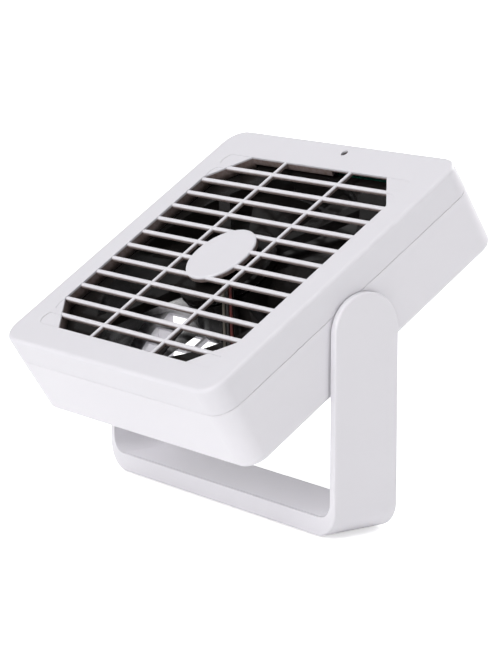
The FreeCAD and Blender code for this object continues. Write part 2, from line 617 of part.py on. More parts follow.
def rear_shell():
    """Rear moulding: walls, intake grille, screw tubes, fan posts and board posts."""
    body = doc.addObject("PartDesign::Body", "rear_shell_body")
    depth = d.head_depth - d.parting
    outline = sketch_on(body, "shell_outline", "XY_Plane", -d.parting)
    draw_rounded(outline, housing_rectangle(), d.head_corner)
    swept(body, "Pad", "shell_block", outline, depth, reverse=True, taper=-d.head_draft)
    rim = edges_where(body.Shape, lambda p: p.z < 0.01 - number(d.head_depth))
    softened(body, "Fillet", "back_edge", rim, d.back_round)
    rim = edges_where(body.Shape, lambda p: p.z > -0.01 - number(d.parting))
    softened(body, "Chamfer", "shell_parting_bevel", rim, d.parting_bevel)
    cavity = sketch_on(body, "shell_cavity_outline", "XY_Plane", -d.parting)
    draw_rounded(cavity, housing_rectangle(d.wall), d.head_corner - d.wall)
    swept(body, "Pocket", "shell_cavity", cavity, depth - d.wall, taper=-d.head_draft)

    # Locating lip along the four sides, standing up inside the front cover.
    for name, level, height, inset in (("root", -2, 2, 0.2), ("lip", 0, 1.4, -0.15)):
        lip = sketch_on(body, f"lip_{name}_outline", "XY_Plane", -d.parting + level)
        near = d.wall - inset
        far = d.wall + 0.9
        for side in (-1, 1):
            inner, outer = d.head_half_width - far, d.head_half_width - near
            draw_polygon(lip, rectangle(inner * side, outer * side, -52.0, 52.0))
        draw_polygon(lip, rectangle(-52.0, 52.0, d.head_top - far, d.head_top - near))
        draw_polygon(lip, rectangle(-52.0, 52.0, far - d.head_bottom, near - d.head_bottom))
        swept(body, "Pad", f"locating_{name}", lip, height)

    # Intake: a round opening behind horizontal ribs and two uprights.
    intake = sketch_on(body, "intake_outline", "XY_Plane", -d.head_depth - 1)
    draw_circle(intake, (0, 0), 56.5)
    swept(body, "Pocket", "intake_opening", intake, d.wall + 2, reverse=True)
    foot, crown = d.wall - d.head_depth, 0.2 - d.head_depth
    rib = sketch_on(body, "rib_section", "YZ_Plane")
    draw_arch(rib, d.slat_pitch * 5.5, d.slat_half, foot, crown)
    first = swept(body, "Pad", "top_rib", rib, 114, both=True)
    repeated(body, "intake_ribs", first, "Y_Axis", d.slat_pitch * 11, 12, reverse=True)
    upright = sketch_on(body, "intake_upright_section", "XZ_Plane")
    draw_arch(upright, d.upright_offset, d.upright_half, foot, crown)
    first = swept(body, "Pad", "right_intake_upright", upright, 112, both=True)
    repeated(body, "intake_uprights", first, "X_Axis", d.upright_offset * 2, 2, reverse=True)

    # Screw tubes in the corners and short posts for the fan.
    floor = d.wall - d.head_depth - 0.1
    tubes = sketch_on(body, "tube_outline", "XY_Plane", floor)
    for across, up in CORNERS:
        draw_circle(tubes, (across, up), 4.0)
    swept(body, "Pad", "screw_tubes", tubes, -d.parting - 0.4 - floor)
    posts = sketch_on(body, "fan_post_outline", "XY_Plane", floor)
    for across in (-d.fan_bolt, d.fan_bolt):
        for up in (-d.fan_bolt, d.fan_bolt):
            draw_circle(posts, (across, up), 4.0)
    swept(body, "Pad", "fan_posts", posts, -d.fan_front - d.fan_thickness - floor)
    pilots = sketch_on(body, "fan_pilot_outline", "XY_Plane", floor + 0.6)
    for across in (-d.fan_bolt, d.fan_bolt):
        for up in (-d.fan_bolt, d.fan_bolt):
            draw_circle(pilots, (across, up), 1.4)
    swept(body, "Pocket", "fan_pilots", pilots, 6, reverse=True)
    for name, radius, depth in (("counterbore", 2.9, 9.2), ("clearance", 1.7, 40)):
        bores = sketch_on(body, f"tube_{name}_outline", "XY_Plane", -d.head_depth - 1)
        for across, up in CORNERS:
            draw_circle(bores, (across, up), radius)
        swept(body, "Pocket", f"tube_{name}", bores, depth, reverse=True)

    # Pivot holes, board posts, switch slot and inlet slot.
    pivots = sketch_on(body, "pivot_hole_outline", "YZ_Plane")
    draw_circle(pivots, (-d.pivot_drop, -d.pivot_depth), d.bush_radius)
    swept(body, "Pocket", "pivot_holes", pivots, 150, both=True)
    board_top = d.board_level + d.board_thickness
    posts = sketch_on(body, "board_post_outline", "XZ_Plane", -board_top)
    for across in BOARD_SCREWS:
        draw_circle(posts, (across, BOARD_SCREW_DEPTH), 2.4)
    swept(body, "Pad", "board_posts", posts, d.head_top - board_top - 1.5, reverse=True)
    pilots = sketch_on(body, "board_pilot_outline", "XZ_Plane", -board_top)
    for across in BOARD_SCREWS:
        draw_circle(pilots, (across, BOARD_SCREW_DEPTH), 1.1)
    swept(body, "Pocket", "board_pilots", pilots, 6)
    slot = sketch_on(body, "switch_slot_outline", "XZ_Plane", -d.head_top - 1)
    draw_polygon(slot, rectangle(d.knob_across - 3.3, d.knob_across + d.knob_travel + 3.3,
                                 -d.knob_depth - 1.9, 1.9 - d.knob_depth))
    swept(body, "Pocket", "switch_slot", slot, d.wall + 1.8, reverse=True)
    inlet = sketch_on(body, "inlet_outline", "XY_Plane", -d.head_depth - 1)
    draw_rounded(inlet, rectangle(43.6, 53.4, 62.6, 66.5), 1.2)
    swept(body, "Pocket", "inlet_slot", inlet, d.wall + 2, reverse=True)
    return body


BOARD_SCREWS = (8.5, 39.5)
BOARD_SCREW_DEPTH = -27.0
piece("front_cover", front_cover(), IN_HEAD)
piece("rear_shell", rear_shell(), IN_HEAD)
screws = [pan_screw(f"corner_screw_{index}", (across, up, -30), (0, 0, 1), 1.25, 2.7, 2.0, 25)
          for index, (across, up) in enumerate(CORNERS)]
piece("housing_screws", group("housing_screw_set", *screws), IN_HEAD)
for side, name in ((-1, "left"), (1, "right")):
    bore, outside = d.bush_bore, d.bush_radius
    bush = turned(f"bush_{name}", [(bore, 0), (outside + 2, 0), (outside + 2, 1.0),
                                   (outside, 1.0), (outside, 3.5), (bore, 3.5)],
                  (68.8 * side, -d.pivot_drop, -d.pivot_depth), (side, 0, 0))
    piece(f"pivot_bush_{name}", group(f"bush_{name}_set", bush), IN_HEAD)

# ---------------------------------------------------------------- fan: frame and stator

STRUT_ANGLE = -40.0


def about_axis(thing, angle):
    """Turn a finished shape about the fan's axis."""
    thing.Placement = Placement(Vector(), Rotation(Vector(0, 0, 1), angle)) * thing.Placement
    return thing


def plate(name, corners, radius, low, height):
    """A flat plate with rounded corners."""
    outline = doc.addObject("Sketcher::SketchObject", name + "_outline")
    draw_rounded(outline, corners, radius)
    slab = doc.addObject("Part::Extrusion", name)
    slab.Base = outline
    slab.Dir = Vector(0, 0, 1)
    drive(slab, "LengthFwd", height)
    slab.Solid = True
    return place(slab, (0, 0, low))


def fan_frame():
    """Square frame with its duct, four struts, motor base and bearing tube."""
    rear = -d.fan_front - d.fan_thickness
    square = rectangle(-d.fan_half, d.fan_half, -d.fan_half, d.fan_half)
    flanges = [plate(f"flange_{index}", square, 5.0, level, 4.0)
               for index, level in enumerate((rear, -d.fan_front - 4.0))]
    duct = rod("duct", d.fan_half - 0.4, d.fan_thickness, (0, 0, rear))
    bore = rod("duct_bore", d.duct_radius, d.fan_thickness + 2, (0, 0, rear - 1))
    shell = cut("frame_shell", joined("frame_solid", *flanges, duct), bore)
    struts = [about_axis(block(f"strut_{turn}", (18, -2.5, -9.5), (41, 5, 4)), STRUT_ANGLE + turn)
              for turn in (0, 90, 180, 270)]
    base = turned("motor_base", [(0, -9), (22, -9), (22, -6.3), (21.2, -5.5), (0, -5.5)])
    tube = rod("bearing_tube", 4.6, 17.5, (0, 0, -26))
    whole = joined("frame_whole", shell, *struts, base, tube)
    holes = [rod(f"frame_hole_{x}_{y}", 2.2, d.fan_thickness + 2,
                 (x * d.fan_bolt, y * d.fan_bolt, rear - 1)) for x in (-1, 1) for y in (-1, 1)]
    lead_hole = about_axis(rod("lead_hole", 3.0, 5.0, (15.5, 0, -10)), STRUT_ANGLE)
    return cut("fan_frame_cut", whole, *holes, lead_hole, rod("tube_bore", 3.0, 22, (0, 0, -27)))


def spider(name, low, high, bar_half, hub, rim_inside, rim_outside):
    """Four poles: a hub ring, a cross of bars, and a rim broken between the poles."""
    height = high - low
    gaps = [about_axis(block(f"{name}_gap_{turn}", (8, -2.6, low - 1), (12, 5.2, height + 2)), turn)
            for turn in (45, 135, 225, 315)]
    rim = cut(f"{name}_rim", ring(f"{name}_rim_ring", rim_inside, rim_outside, low, high), *gaps)
    reach = rim_inside + 0.5
    bars = [about_axis(block(f"{name}_bar_{turn}", (-reach, -bar_half, low),
                             (reach * 2, bar_half * 2, height)), turn) for turn in (0, 90)]
    solid = joined(f"{name}_solid", rim, rod(f"{name}_hub", hub, height, (0, 0, low)), *bars)
    return cut(f"{name}_cut", solid, rod(f"{name}_bore", 4.6, height + 2, (0, 0, low - 1)))


def winding(turn):
    """One coil round a pole."""
    outer = block(f"coil_{turn}_outer", (8.6, -4.0, -22.8), (3.9, 8.0, 10.6))
    inner = block(f"coil_{turn}_inner", (8.5, -2.4, -21.8), (4.1, 4.8, 8.6))
    return about_axis(cut(f"coil_{turn}", outer, inner), turn)


piece("fan_frame", fan_frame(), IN_HEAD)
screws = [pan_screw(f"fan_screw_{x}_{y}", (x * 52.5, y * 52.5, -26.5), (0, 0, -1), 1.4, 2.9, 2.0, 8.4)
          for x in (-1, 1) for y in (-1, 1)]
piece("fan_screws", group("fan_screw_set", *screws), IN_HEAD)
bearing = ring("bearing_ring", d.shaft_radius + 0.03, 3.0, -24, -9.5)
piece("sleeve_bearing", group("bearing_set", bearing), IN_HEAD)
piece("bearing_cap", group("cap_set", rod("cap_disc", 3.0, 1.2, (0, 0, -7.2))), IN_HEAD)
piece("motor_board", group("motor_board_set", ring("motor_board_ring", 5.0, 17.7, -10.6, -9.0)),
      IN_HEAD)
piece("stator_core", spider("core", -21.0, -14.0, 2.0, 7.5, 13.3, 15.5), IN_HEAD)
piece("stator_insulator",
      group("insulator_pair", spider("rear_cap", -21.8, -21.0, 2.4, 8.2, 13.3, 14.6),
            spider("front_cap", -14.0, -13.2, 2.4, 8.2, 13.3, 14.6)), IN_HEAD)
piece("stator_windings", group("coil_set", *[winding(turn) for turn in (0, 90, 180, 270)]), IN_HEAD)

# ---------------------------------------------------------------- fan: rotor

BLADES = 7
# Blade sections: radius, chord, angle out of the plane of rotation, camber, sweep along the turn.
SECTIONS = ((20.2, 22.0, 46.0, 2.2, 0.0), (38.0, 32.0, 34.0, 3.0, 3.5), (60.0, 40.0, 25.0, 3.4, 11.0))


def blade_section(radius, chord, angle, camber, sweep):
    """A thin cambered outline across a blade."""
    lean = math.radians(angle)
    along = Vector(0, math.cos(lean), math.sin(lean))
    across = Vector(0, -math.sin(lean), math.cos(lean))
    centre = Vector(radius, sweep, -19.4)

    def at(share, bulge, half):
        return centre + along * (chord * share) + across * (bulge + half)

    front = Part.Arc(at(-0.5, 0, 0.45), at(0, camber, 0.95), at(0.5, 0, 0.45)).toShape()
    back = Part.Arc(at(0.5, 0, -0.45), at(0, camber, -0.95), at(-0.5, 0, -0.45)).toShape()
    sides = [Part.makeLine(at(share, 0, 0.45), at(share, 0, -0.45)) for share in (0.5, -0.5)]
    return Part.Wire([front, sides[0], back, sides[1]])


def blade_set():
    """Seven swept blades, trimmed round by the tip circle."""
    loft = Part.makeLoft([blade_section(*section) for section in SECTIONS], True, False)
    tip = Part.makeCylinder(number(d.blade_radius), 18.6, Vector(0, 0, -28.9))
    blade = loft.common(tip)
    blades = [blade.rotated(Vector(), Vector(0, 0, 1), 360 * index / BLADES)
              for index in range(BLADES)]
    feature = doc.addObject("Part::Feature", "blades")
    feature.Shape = Part.makeCompound(blades)
    return feature


hub = d.hub_radius
cup = hub - 1.8
hub_cup = turned("hub_cup", [(0, -29.5), (hub - 1, -29.5), (hub, -28.5), (hub, -10.5), (cup, -10.5),
                             (cup, -27.2), (4, -27.2), (4, -26.3), (d.shaft_radius, -26.3),
                             (d.shaft_radius, -28.7), (0, -28.7)])
piece("impeller", joined("impeller_solid", hub_cup, blade_set()), IN_HEAD)
yoke = turned("yoke_cup", [(4, -27.2), (cup, -27.2), (cup, -12), (cup - 1, -12), (cup - 1, -26.2),
                           (4, -26.2)])
piece("rotor_yoke", group("yoke_set", yoke), IN_HEAD)
magnet = ring("magnet_ring", 16.4, cup - 1, -24, -12.5)
piece("rotor_magnet", group("magnet_set", magnet), IN_HEAD)
shaft = d.shaft_radius
spindle = turned("shaft_rod", [(0, -28.7), (shaft, -28.7), (shaft, -9), (1.2, -9), (1.2, -8.5),
                               (shaft, -8.5), (shaft, -8.1), (shaft - 0.3, -7.8), (0, -7.8)])
piece("rotor_shaft", group("shaft_set", spindle), IN_HEAD)
piece("shaft_clip", group("clip_set", ring("clip_ring", 1.2, 2.4, -9.0, -8.5)), IN_HEAD)

# ---------------------------------------------------------------- main board and what it carries

board_top = d.board_level + d.board_thickness
slab = block("board_slab", (3, d.board_level, -32), (53, d.board_thickness, 25))
holes = [rod(f"board_hole_{x:g}", 1.3, 4, (x, 61, BOARD_SCREW_DEPTH), (0, 1, 0)) for x in BOARD_SCREWS]
piece("main_board", cut("board_cut", slab, *holes), IN_HEAD)
screws = [pan_screw(f"board_screw_{x:g}", (x, d.board_level, BOARD_SCREW_DEPTH), (0, 1, 0), 1.1, 2.4,
                    1.0, 7.0) for x in BOARD_SCREWS]
piece("board_screws", group("board_screw_pair", *screws), IN_HEAD)
lens = turned("light_lens", [(0, -6.6), (1.8, -6.6), (1.8, -5.8), (1.5, -5.8), (1.5, -2.6),
                             (1.35, -1.9), (0.9, -1.4), (0, -1.2)], (d.light_across, d.light_up, 0))
piece("power_light", group("light_set", lens), IN_HEAD)
legs = [joined(f"leg_{side}", block(f"leg_{side}_back", (side * 1.27 + d.light_across - 0.25,
                                                       d.light_up - 0.25, -9.2), (0.5, 0.5, 2.6)),
               block(f"leg_{side}_down", (side * 1.27 + d.light_across - 0.25, board_top, -9.2),
                     (0.5, d.light_up - board_top, 0.5))) for side in (-1, 1)]
piece("light_leads", group("leg_pair", *legs), IN_HEAD)

knob, depth = d.knob_across, -d.knob_depth
case = block("switch_case", (knob - 4.5, board_top, depth - 5), (d.knob_travel + 9, 5.5, 10))
track = block("switch_track", (knob - 1.6, board_top + 3.4, depth - 1.3), (d.knob_travel + 3.2, 3, 2.6))
piece("switch_body", cut("switch_case_cut", case, track), IN_HEAD)
cap = plate("knob_cap", rectangle(-3.0, 3.0, -1.7, 1.7), 0.8, 0, 4.1)
cap.Placement = Placement(Vector(number(knob), 70.3, number(depth)), pointing((0, 1, 0)))
grips = [block(f"knob_grip_{index}", (knob + index * 1.4 - 0.3, 74.0, depth - 2), (0.6, 1, 4))
         for index in (-1, 0, 1)]
skirt = block("knob_skirt", (knob - 7, 69.5, depth - 2.7), (14, 0.8, 5.4))
stem = block("knob_stem", (knob - 1.2, 67.8, depth - 1.0), (2.4, 2.0, 2.0))
piece("switch_knob", cut("knob_cut", joined("knob_solid", cap, skirt, stem), *grips), IN_HEAD)

shell = block("inlet_shell", (44, board_top, -36.5), (9, 3.1, 7.5))
mouth = block("inlet_mouth", (44.35, board_top + 0.35, -37.5), (8.3, 2.4, 7.6))
tongue = block("inlet_tongue", (45.3, board_top + 1.2, -35.8), (6.4, 0.7, 6.2))
piece("power_inlet", joined("inlet_solid", cut("inlet_can", shell, mouth), tongue), IN_HEAD)
piece("lead_header", group("header_set", block("header_block", (50, board_top, -13), (6, 4.2, 6))),
      IN_HEAD)
can = turned("capacitor_can", [(0, 0), (2.5, 0), (2.5, 0.9), (2.3, 1.2), (2.5, 1.5), (2.5, 5.4),
                               (2.2, 5.7), (0, 5.7)], (15.5, board_top, -13), (0, 1, 0))
piece("board_capacitor", group("capacitor_set", can), IN_HEAD)
piece("board_choke", group("choke_set", block("choke_block", (40, board_top, -21), (6, 4.5, 6))),
      IN_HEAD)
chips = [block("driver_chip", (13, board_top, -26), (5, 1.1, 5)),
         block("charge_chip", (22, board_top, -30.5), (4, 0.9, 3))]
piece("board_chips", group("chip_pair", *chips), IN_HEAD)

# ---------------------------------------------------------------- leads, motor to main board


def lead(name, corners, radius, bend):
    """A round lead along straight runs joined by tangent bends."""
    points = [Vector(*corner) for corner in corners]
    edges = []
    start = points[0]
    for before, corner, after in zip(points, points[1:], points[2:]):
        back, ahead = (before - corner).normalize(), (after - corner).normalize()
        half = back.getAngle(ahead) / 2
        setback = bend / math.tan(half)
        inside = corner + (back + ahead).normalize() * (bend / math.sin(half))
        nearest = inside - (inside - corner).normalize() * bend
        leave, arrive = corner + back * setback, corner + ahead * setback
        edges.append(Part.makeLine(start, leave))
        edges.append(Part.Arc(leave, nearest, arrive).toShape())
        start = arrive
    edges.append(Part.makeLine(start, points[-1]))
    path = Part.Wire(edges)
    section = Part.Wire(Part.makeCircle(radius, points[0], points[1] - points[0]))
    feature = doc.addObject("Part::Feature", name)
    feature.Shape = path.makePipeShell([section], True, True)
    return feature


strut = math.radians(STRUT_ANGLE)
outward = Vector(math.cos(strut), math.sin(strut), 0)
sideways = Vector(-math.sin(strut), math.cos(strut), 0)
for colour, offset, level in (("red", 1.5, -8.2), ("black", 0.0, -9.9), ("yellow", -1.5, -11.6)):
    gap_x, front_z = 61.2, -4.85
    root = outward * 15.5 + sideways * offset
    exit_run = (gap_x - sideways.x * offset) / outward.x
    turn_y = outward.y * exit_run + sideways.y * offset
    route = [(root.x, root.y, -9.0), (root.x, root.y, front_z), (gap_x, turn_y, front_z),
             (gap_x, turn_y, level), (gap_x, 66.2, level), (56.0, 66.2, level)]
    piece(f"lead_{colour}", lead(f"{colour}_lead_sweep", route, 0.6, 1.2), IN_HEAD)

# ---------------------------------------------------------------- checks and files

doc.recompute()
for thing in doc.Objects:
    if {"Invalid", "Error"} & set(thing.State):
        raise RuntimeError(f"{thing.Name} does not compute: {thing.State}")
for thing in PIECES:
    if thing.Shape.isNull() or not thing.Shape.isValid():
        raise RuntimeError(f"{thing.Label} has no valid shape")
os.makedirs("parts", exist_ok=True)
for thing in PIECES:
    thing.Shape.exportStep(f"parts/{thing.Label}.step")
print(len(PIECES), "sub-parts written")
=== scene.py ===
# %% [markdown]
# # Desk fan with a tilting square head
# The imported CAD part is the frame. Every part of it gets its material here, and some pieces that
# repeat (cross-recessed screws, turns of wire, pad ribs) are built with Geometry Nodes.
# Lengths are in metres. The head's own frame has x right, y up along the face, z out of it.

# %%
import math

import bpy
from mathutils import Matrix, Vector
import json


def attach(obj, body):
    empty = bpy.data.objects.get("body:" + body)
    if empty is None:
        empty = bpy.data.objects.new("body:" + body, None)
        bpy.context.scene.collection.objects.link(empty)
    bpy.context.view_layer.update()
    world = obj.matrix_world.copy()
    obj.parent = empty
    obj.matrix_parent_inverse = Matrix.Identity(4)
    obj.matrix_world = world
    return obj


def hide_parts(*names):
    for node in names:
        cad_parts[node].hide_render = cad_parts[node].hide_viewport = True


MM = 0.001
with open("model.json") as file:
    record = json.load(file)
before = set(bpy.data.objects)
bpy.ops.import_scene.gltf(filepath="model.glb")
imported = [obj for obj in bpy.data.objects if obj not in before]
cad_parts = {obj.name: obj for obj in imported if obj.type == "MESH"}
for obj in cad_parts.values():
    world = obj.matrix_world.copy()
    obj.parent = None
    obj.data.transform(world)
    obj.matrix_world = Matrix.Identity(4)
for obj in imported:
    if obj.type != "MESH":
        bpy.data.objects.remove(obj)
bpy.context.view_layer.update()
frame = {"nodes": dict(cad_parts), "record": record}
NODES = frame["nodes"]
scene = bpy.context.scene
GRILLE_CENTRE = Vector((0, -12.90, 101.04)) * MM
TILT = math.radians(32.7)
HEAD = Matrix.Translation(GRILLE_CENTRE) @ Matrix.Rotation(TILT, 4, "X")
print("CAD nodes:", len(NODES))

# %% [markdown]
# ## Materials
# One shader group gives every surface its slight unevenness: a drifting tone, a drifting
# roughness and a fine grain in the normal. Each material sets the group's inputs.

# %%


def socket(tree, name, kind, default=None, output=False):
    made = tree.interface.new_socket(name, in_out="OUTPUT" if output else "INPUT", socket_type=kind)
    if default is not None:
        made.default_value = default
    return made


def node(tree, kind, inputs=None, **settings):
    """A node with its settings, and its inputs set to values or linked from sockets."""
    made = tree.nodes.new(kind)
    for name, value in settings.items():
        setattr(made, name, value)
    for name, value in (inputs or {}).items():
        target = made.inputs[name]
        if isinstance(value, list):
            for source in value:
                tree.links.new(source, target)
        elif isinstance(value, bpy.types.NodeSocket):
            tree.links.new(value, target)
        else:
            target.default_value = value
    return made


def maths(tree, operation, first, second=0.0):
    return node(tree, "ShaderNodeMath", {0: first, 1: second}, operation=operation).outputs[0]


def vector(tree, x=0.0, y=0.0, z=0.0):
    return node(tree, "ShaderNodeCombineXYZ", {"X": x, "Y": y, "Z": z}).outputs[0]


def make_unevenness():
    tree = bpy.data.node_groups.new("Surface unevenness", "ShaderNodeTree")
    for name, kind, default in (("Light tone", "NodeSocketColor", (0.8, 0.8, 0.8, 1)),
                                ("Dark tone", "NodeSocketColor", (0.7, 0.7, 0.7, 1)),
                                ("Drift scale", "NodeSocketFloat", 25.0),
                                ("Grain scale", "NodeSocketFloat", 2500.0),
                                ("Grain depth", "NodeSocketFloat", 0.05),
                                ("Roughness low", "NodeSocketFloat", 0.3),
                                ("Roughness high", "NodeSocketFloat", 0.4),
                                ("Edge radius", "NodeSocketFloat", 0.0002)):
        socket(tree, name, kind, default)
    socket(tree, "Color", "NodeSocketColor", output=True)
    socket(tree, "Roughness", "NodeSocketFloat", output=True)
    socket(tree, "Normal", "NodeSocketVector", output=True)
    given = tree.nodes.new("NodeGroupInput").outputs
    place = node(tree, "ShaderNodeTexCoord").outputs["Object"]
    drift = node(tree, "ShaderNodeTexNoise", {"Vector": place, "Scale": given["Drift scale"],
                                              "Detail": 3.0, "Roughness": 0.55})
    grain = node(tree, "ShaderNodeTexNoise", {"Vector": place, "Scale": given["Grain scale"],
                                              "Detail": 2.0, "Roughness": 0.5})
    tone = node(tree, "ShaderNodeMix", data_type="RGBA")
    tree.links.new(drift.outputs["Fac"], tone.inputs["Factor"])
    tree.links.new(given["Dark tone"], tone.inputs[6])
    tree.links.new(given["Light tone"], tone.inputs[7])
    spread = node(tree, "ShaderNodeMapRange", {"Value": grain.outputs["Fac"],
                                               "To Min": given["Roughness low"],
                                               "To Max": given["Roughness high"],
                                               "From Min": 0.3, "From Max": 0.7})
    edge = node(tree, "ShaderNodeBevel", {"Radius": given["Edge radius"]}, samples=4)
    bump = node(tree, "ShaderNodeBump", {"Strength": given["Grain depth"], "Distance": 0.0002,
                                         "Height": grain.outputs["Fac"],
                                         "Normal": edge.outputs["Normal"]})
    node(tree, "NodeGroupOutput", {"Color": tone.outputs[2], "Roughness": spread.outputs["Result"],
                                   "Normal": bump.outputs["Normal"]})
    return tree


UNEVENNESS = make_unevenness()


def shade(value):
    return (*value, 1.0)


def material(name, light, dark, low, high, grain=0.05, grain_scale=2500.0, drift=25.0, edge=0.0002,
             **shader):
    """A Principled material fed by the unevenness group."""
    made = bpy.data.materials.new(name)
    made.use_nodes = True
    tree = made.node_tree
    tree.nodes.clear()
    group = node(tree, "ShaderNodeGroup", {}, node_tree=UNEVENNESS)
    for socket_name, value in (("Light tone", shade(light)), ("Dark tone", shade(dark)),
                               ("Drift scale", drift), ("Grain scale", grain_scale),
                               ("Grain depth", grain), ("Roughness low", low),
                               ("Roughness high", high), ("Edge radius", edge)):
        group.inputs[socket_name].default_value = value
    principled = node(tree, "ShaderNodeBsdfPrincipled", {"Base Color": group.outputs["Color"],
                                                         "Roughness": group.outputs["Roughness"],
                                                         "Normal": group.outputs["Normal"]})
    for socket_name, value in shader.items():
        principled.inputs[socket_name.replace("_", " ")].default_value = value
    node(tree, "ShaderNodeOutputMaterial", {"Surface": principled.outputs["BSDF"]})
    return made


def make_painted_collar_shade():
    """Masks for painted shade, rising with depth inside the collar and the light's hole: near the face,
    and deep.
    """
    tree = bpy.data.node_groups.new("Painted collar shade", "ShaderNodeTree")
    for name, default in (("Half width", 0.0612), ("Half height", 0.0592), ("Near start", 0.0004),
                          ("Near end", 0.0012), ("Deep start", 0.0026), ("Deep end", 0.0048),
                          ("Speckle", 0.3), ("Hole reach", 0.0019)):
        socket(tree, name, "NodeSocketFloat", default)
    socket(tree, "Hole centre", "NodeSocketVector", (0.0069, 0.0676, 0.0))
    for name in ("Near mask", "Deep mask"):
        socket(tree, name, "NodeSocketFloat", output=True)
    given = tree.nodes.new("NodeGroupInput").outputs
    place = node(tree, "ShaderNodeTexCoord").outputs["Object"]
    in_head = node(tree, "ShaderNodeMapping", {"Vector": place, "Location": HEAD.to_translation(),
                                               "Rotation": HEAD.to_euler()}, vector_type="TEXTURE")
    parts = node(tree, "ShaderNodeSeparateXYZ", {"Vector": in_head.outputs["Vector"]}).outputs
    across = maths(tree, "LESS_THAN", maths(tree, "ABSOLUTE", parts["X"]), given["Half width"])
    up = maths(tree, "LESS_THAN", maths(tree, "ABSOLUTE", parts["Y"]), given["Half height"])
    collar = maths(tree, "MULTIPLY", across, up)
    flat = vector(tree, parts["X"], parts["Y"])
    reach = node(tree, "ShaderNodeVectorMath", {0: flat, 1: given["Hole centre"]},
                 operation="DISTANCE").outputs["Value"]
    inside = maths(tree, "MAXIMUM", collar, maths(tree, "LESS_THAN", reach, given["Hole reach"]))
    speck = node(tree, "ShaderNodeTexNoise", {"Vector": place, "Scale": 700.0, "Detail": 3.0})
    loss = maths(tree, "MULTIPLY", speck.outputs["Fac"], given["Speckle"])
    broken = maths(tree, "MULTIPLY", maths(tree, "SUBTRACT", 1.0, loss), inside)
    depth = maths(tree, "MULTIPLY", parts["Z"], -1.0)
    masks = {}
    for name in ("Near", "Deep"):
        ramp = node(tree, "ShaderNodeMapRange", {"Value": depth, "From Min": given[name + " start"],
                                                 "From Max": given[name + " end"]},
                    interpolation_type="SMOOTHSTEP")
        masks[name + " mask"] = maths(tree, "MULTIPLY", ramp.outputs["Result"], broken)
    node(tree, "NodeGroupOutput", masks)
    return tree


def add_painted_collar_shade(made, near, deep):
    """Paint shade into a material: take it from its own tone to a second and a third, darker tone
    towards the inside of the collar.
    """
    tree = made.node_tree
    principled = next(n for n in tree.nodes if n.type == "BSDF_PRINCIPLED")
    tone = principled.inputs["Base Color"].links[0].from_socket
    group = node(tree, "ShaderNodeGroup", {}, node_tree=make_painted_collar_shade())
    for name, value in (("Near mask", near), ("Deep mask", deep)):
        mixed = node(tree, "ShaderNodeMix", {"Factor": group.outputs[name]}, data_type="RGBA")
        tree.links.new(tone, mixed.inputs[6])
        mixed.inputs[7].default_value = shade(value)
        tone = mixed.outputs[2]
    tree.links.new(tone, principled.inputs["Base Color"])


LOOKS = {
    "white_moulding": material("Satin white moulding", (0.705, 0.692, 0.728), (0.685, 0.672, 0.706),
                               0.36, 0.46, 0.06, 3200.0, edge=0.00025, IOR=1.46),
    "acetal": material("Natural acetal", (0.78, 0.77, 0.72), (0.74, 0.73, 0.69), 0.3, 0.45),
    "black_moulding": material("Glossy black moulding", (0.012, 0.0105, 0.01), (0.008, 0.007, 0.0065),
                               0.14, 0.26, 0.05, 900.0, edge=0.0003, Specular_IOR_Level=0.22),
    "soft_rubber": material("Soft black rubber", (0.035, 0.035, 0.037), (0.02, 0.02, 0.021),
                            0.7, 0.9, 0.5, 3500.0),
    "friction_pad": material("Friction pad", (0.06, 0.05, 0.05), (0.04, 0.035, 0.035), 0.6, 0.85, 0.4),
    "plated_steel": material("Zinc plated steel", (0.62, 0.62, 0.6), (0.5, 0.5, 0.5), 0.22, 0.42, 0.1,
                             Metallic=1.0),
    "spring_steel": material("Spring steel", (0.38, 0.37, 0.36), (0.28, 0.27, 0.27), 0.25, 0.4, 0.1,
                             Metallic=1.0),
    "weight_steel": material("Oiled mild steel", (0.34, 0.33, 0.33), (0.24, 0.22, 0.21), 0.3, 0.6, 0.3,
                             900.0, Metallic=1.0),
    "lamination": material("Stacked steel sheet", (0.3, 0.3, 0.31), (0.2, 0.2, 0.21), 0.35, 0.55, 0.2,
                           Metallic=1.0),
    "bronze": material("Sintered bronze", (0.55, 0.36, 0.18), (0.42, 0.27, 0.13), 0.35, 0.6, 0.4,
                       4000.0, Metallic=1.0),
    "copper_wire": material("Enamelled copper", (0.55, 0.2, 0.07), (0.42, 0.13, 0.045), 0.15, 0.3,
                            Metallic=0.85, Coat_Weight=0.8),
    "ferrite": material("Ferrite", (0.05, 0.048, 0.05), (0.03, 0.03, 0.031), 0.5, 0.75, 0.3),
    "green_board": material("Green solder mask", (0.02, 0.3, 0.2), (0.015, 0.22, 0.15), 0.2, 0.35,
                            0.08, Coat_Weight=0.4),
    "chip_body": material("Moulded epoxy", (0.02, 0.02, 0.021), (0.013, 0.013, 0.014), 0.45, 0.65, 0.3),
    "can_sleeve": material("Capacitor can", (0.42, 0.45, 0.5), (0.32, 0.35, 0.4), 0.25, 0.4,
                           Metallic=0.9),
    "inlet_metal": material("Bright inlet metal", (0.72, 0.72, 0.72), (0.62, 0.62, 0.63), 0.12, 0.25,
                            Metallic=1.0),
    "light_lens": material("Tinted lens", (0.02, 0.07, 0.045), (0.012, 0.045, 0.03), 0.06, 0.12, 0.01,
                           Transmission_Weight=0.2, IOR=1.5),
    "insulator": material("Natural nylon", (0.7, 0.68, 0.58), (0.62, 0.6, 0.5), 0.4, 0.55),
    "red_lead": material("Red lead", (0.1, 0.012, 0.01), (0.07, 0.009, 0.008), 0.35, 0.5),
    "black_lead": material("Black lead", (0.02, 0.02, 0.02), (0.013, 0.013, 0.013), 0.25, 0.4),
    "yellow_lead": material("Pale lead", (0.1, 0.09, 0.07), (0.07, 0.06, 0.05), 0.35, 0.5),
}
